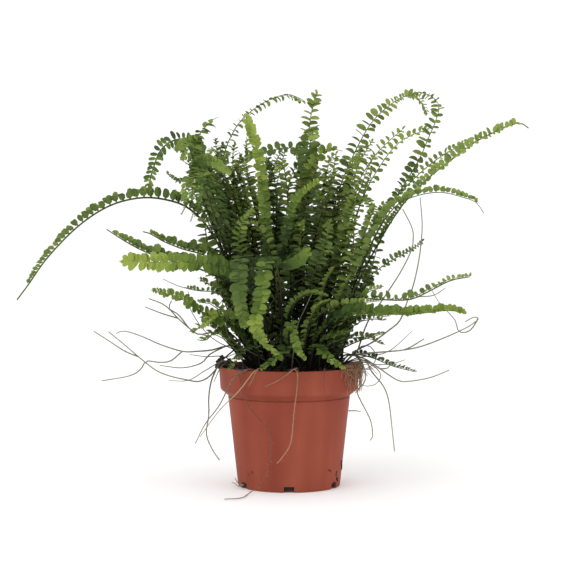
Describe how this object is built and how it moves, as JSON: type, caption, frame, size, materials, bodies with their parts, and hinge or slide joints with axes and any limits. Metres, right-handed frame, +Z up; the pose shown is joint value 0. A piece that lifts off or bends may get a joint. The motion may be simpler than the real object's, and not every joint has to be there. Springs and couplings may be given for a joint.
{
  "type": "potted lemon button fern",
  "caption": "Lemon button fern with arching fronds of small round leaflets and wiry runners, growing in soil in a round nursery pot.",
  "frame": {"origin": "middle of the flat underside of the pot", "axes": "+Z up along the pot's axis, +X to the right and -Y towards the front as the picture shows the plant"},
  "size_m": [0.4329, 0.3173, 0.3384],
  "materials": {
    "leaf_green": "satin",
    "leaf_lime": "satin",
    "leaf_dark": "satin",
    "leaf_pale": "matte",
    "runner": "matte",
    "soil": "matte",
    "pot": "satin"
  },
  "bodies": {
    "root": {"pot": "pot", "soil": "soil", "frond_far_left_arch": "leaf_green", "frond_left_hook": "leaf_green", "frond_left_crest": "leaf_green", "frond_top_thin_arch": "leaf_green", "frond_front_lime_spire": "leaf_lime", "frond_top_centre": "leaf_green", "frond_centre_gold_tip": "leaf_green", "frond_right_arch_a": "leaf_green", "frond_right_arch_b": "leaf_green", "frond_far_right_reach": "leaf_green", "frond_right_droop": "leaf_green", "frond_right_twin": "leaf_green", "frond_right_thin_upper": "leaf_green", "frond_right_thin_lower": "leaf_green", "frond_right_mid_dark": "leaf_dark", "frond_right_low_long": "leaf_green", "frond_right_low_wide": "leaf_lime", "frond_left_wide_lime": "leaf_lime", "frond_left_thin_point": "leaf_green", "frond_left_dark_point": "leaf_dark", "frond_left_low_lime": "leaf_lime", "frond_left_low_thin": "leaf_green", "frond_left_low_tip": "leaf_lime", "frond_front_left_hang": "leaf_green", "frond_front_lime_hang": "leaf_lime", "frond_front_small_hang": "leaf_lime", "frond_front_rim_leaf": "leaf_lime", "frond_left_rim_leaf": "leaf_dark", "frond_right_rim_leaf": "leaf_lime", "frond_right_low_short": "leaf_lime", "frond_centre_lime_leaf": "leaf_lime", "frond_centre_diag": "leaf_lime", "frond_left_mass_lime": "leaf_pale", "frond_right_bright": "leaf_green", "frond_right_bushy": "leaf_green", "frond_centre_low": "leaf_green", "frond_left_bushy": "leaf_green", "frond_centre_column": "leaf_dark", "frond_left_inner": "leaf_dark", "frond_left_column": "leaf_green", "frond_right_inner": "leaf_green", "frond_right_edge": "leaf_green", "frond_centre_back": "leaf_dark", "frond_back_left_bow": "leaf_dark", "frond_back_tall_left": "leaf_green", "frond_back_tall_right": "leaf_green", "frond_back_centre": "leaf_lime", "frond_back_low_left": "leaf_green", "frond_back_low_right": "leaf_lime", "frond_back_low_inner": "leaf_green", "frond_back_low_outer": "leaf_green", "frond_back_upright": "leaf_dark", "runners_right_tall": "runner", "runners_right": "runner", "runners_left": "runner", "runners_left_upper": "runner", "runners_front": "runner", "runners_back": "runner"}
  },
  "joints": []
}
